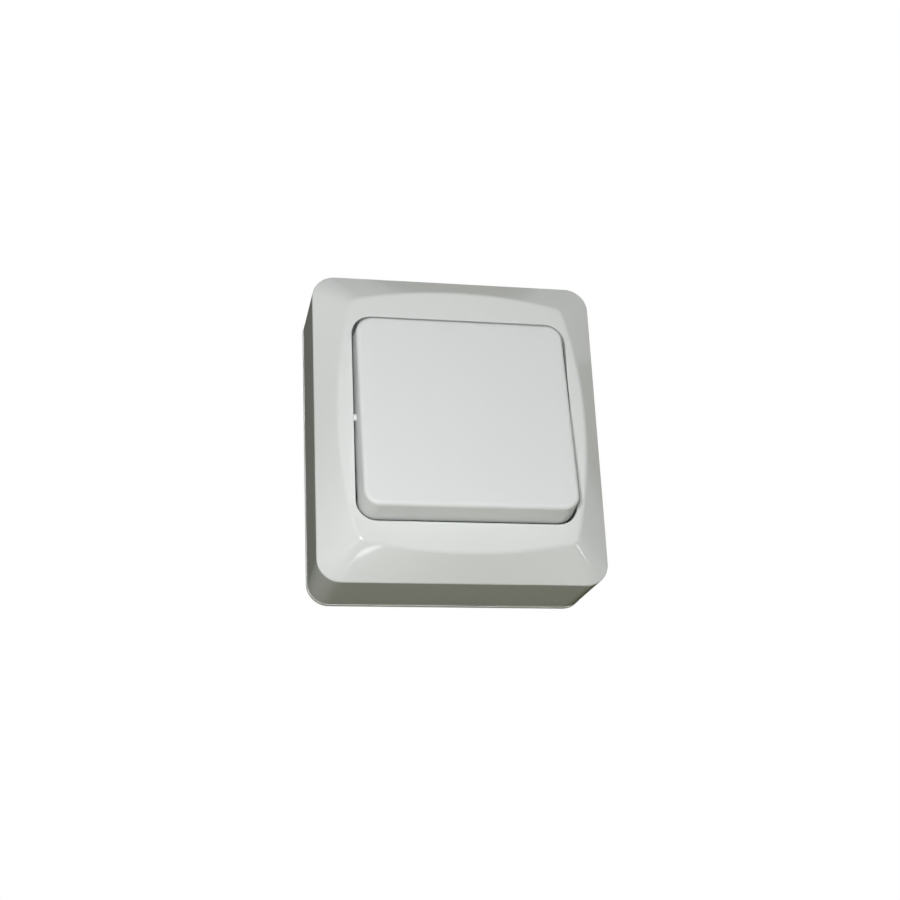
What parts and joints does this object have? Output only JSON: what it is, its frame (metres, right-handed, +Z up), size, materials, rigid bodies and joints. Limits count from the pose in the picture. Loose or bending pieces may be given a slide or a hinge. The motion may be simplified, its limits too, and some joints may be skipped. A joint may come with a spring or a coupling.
{
  "type": "push button light switch",
  "caption": "Surface-mounted wall push button with a square rocking plate in a cushion-shaped raised frame, on a deep white housing with a sprung contact inside.",
  "frame": {"origin": "centre of the base plate's back face, on the wall", "axes": "+Y into the wall, so the button faces -Y; +Z up; +X to the viewer's right"},
  "size_m": [0.08, 0.0394, 0.089],
  "materials": {
    "cover_plastic": "glossy white",
    "button_plastic": "satin white",
    "base_plastic": "matt white",
    "mechanism_plastic": "matt light grey",
    "plunger_plastic": "natural acetal",
    "brass_sheet": "stamped brass",
    "contact_silver": "silver alloy",
    "spring_steel": "drawn wire",
    "zinc_steel": "zinc plated"
  },
  "bodies": {
    "housing": {"base_plate": "base_plastic", "cover": "cover_plastic", "switch_body": "mechanism_plastic", "switch_lid": "mechanism_plastic", "return_spring": "spring_steel", "fixed_contact_left": "brass_sheet", "fixed_contact_right": "brass_sheet", "fixed_contact_tips": "contact_silver", "terminal_clamp_left": "brass_sheet", "terminal_clamp_right": "brass_sheet", "terminal_screws": "zinc_steel", "body_screws": "zinc_steel", "cover_screws": "zinc_steel"},
    "button": {"push_button": "button_plastic"},
    "plunger": {"plunger": "plunger_plastic", "contact_bridge": "brass_sheet", "bridge_contacts": "contact_silver"}
  },
  "joints": [
    {"name": "button_press", "type": "hinge", "parent": "housing", "child": "button", "pos_m": [0, -0.0304, 0], "axis": [1, 0, 0], "range_deg": [0, 12.4], "stiffness_Nm_per_rad": 0.2, "springref_deg": -8.59},
    {"name": "plunger_slide", "type": "slide", "parent": "housing", "child": "plunger", "axis": [0, 1, 0], "range_m": [0, 0.00217], "deforming": ["return_spring"]}
  ],
  "couplings": [
    {"joint": "plunger_slide", "follows": "button_press", "m_per_rad": 0.0099805}
  ]
}
